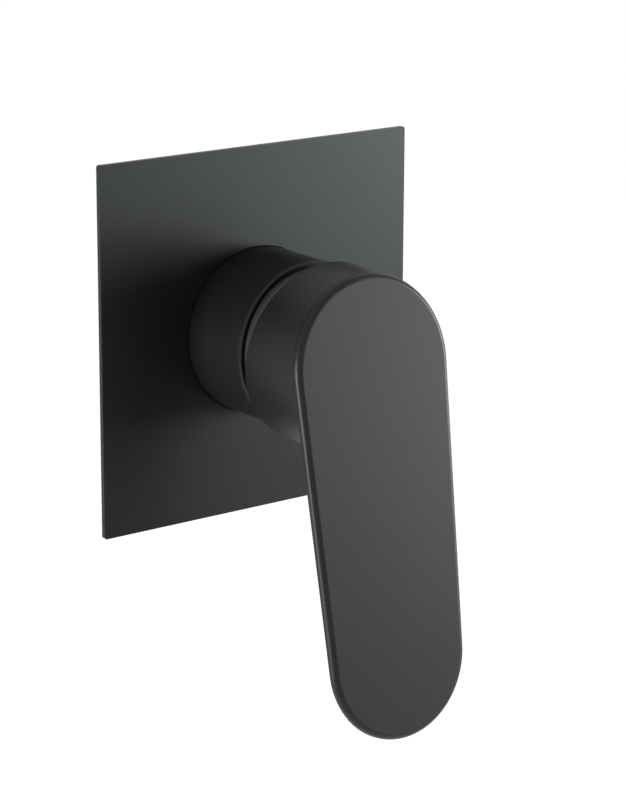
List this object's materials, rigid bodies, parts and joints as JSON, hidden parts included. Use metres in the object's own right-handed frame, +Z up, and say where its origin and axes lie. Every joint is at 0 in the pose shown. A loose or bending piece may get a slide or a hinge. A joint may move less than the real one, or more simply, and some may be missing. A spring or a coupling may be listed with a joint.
{
  "type": "shower mixer",
  "caption": "Concealed single-lever shower mixer: square wall plate, round sleeve and a long flat lever that lifts for flow and turns for temperature.",
  "frame": {"origin": "centre of the body's back face, which is the centre of its four fixing holes, on the common axis of body, sleeve and plate", "axes": "+Y into the wall, so the lever side faces -Y; +Z up, towards the outlet; +X towards the cold inlet"},
  "size_m": [0.11, 0.1089, 0.1617],
  "materials": {
    "plate_black": "satin black coat",
    "sleeve_black": "satin black coat on turned brass",
    "lever_black": "satin black coat on a zinc casting",
    "cover_black": "moulded black plastic",
    "plug_black": "soft black plastic",
    "foam": "closed-cell foam",
    "rubber": "moulded rubber",
    "cast_brass": "forged and blasted",
    "brass": "turned",
    "nickel": "nickel-plated brass",
    "steel": "turned stainless steel",
    "ceramic_white": "lapped ceramic",
    "grey_plastic": "moulded",
    "dark_plastic": "moulded",
    "white_plastic": "moulded",
    "red_plastic": "moulded",
    "fibre": "pressed fibre"
  },
  "bodies": {
    "wall_unit": {"escutcheon_plate": "plate_black", "plate_gasket": "foam", "plate_collar": "brass", "collar_ring": "rubber", "cover_sleeve": "sleeve_black", "sleeve_rings": "rubber", "mixer_body": "cast_brass", "outlet_plug": "nickel", "plug_washer": "fibre", "cartridge_housing": "grey_plastic", "cartridge_base": "dark_plastic", "base_seals": "rubber", "fixed_disc": "ceramic_white", "cartridge_nut": "brass", "limit_ring": "red_plastic", "cartridge_cover": "cover_black"},
    "guide": {"rotating_guide": "grey_plastic", "pivot_pin": "steel"},
    "handle": {"control_stem": "steel", "stem_bush": "white_plastic", "lever_handle": "lever_black", "grub_screw": "steel", "screw_plug": "plug_black"},
    "disc": {"disc_carrier": "grey_plastic", "moving_disc": "ceramic_white"}
  },
  "joints": [
    {"name": "temperature_turn", "type": "hinge", "parent": "wall_unit", "child": "guide", "pos_m": [0, -0.0482, 0], "axis": [0, -1, 0], "range_deg": [-45, 45]},
    {"name": "lever_lift", "type": "hinge", "parent": "guide", "child": "handle", "pos_m": [0, -0.0482, 0], "axis": [-1, 0, 0], "range_deg": [0, 22]},
    {"name": "disc_slide", "type": "slide", "parent": "guide", "child": "disc", "axis": [0, 0, -1], "range_m": [0, 0.003]}
  ],
  "couplings": [
    {"joint": "disc_slide", "follows": "lever_lift", "m_per_rad": 0.0075}
  ]
}
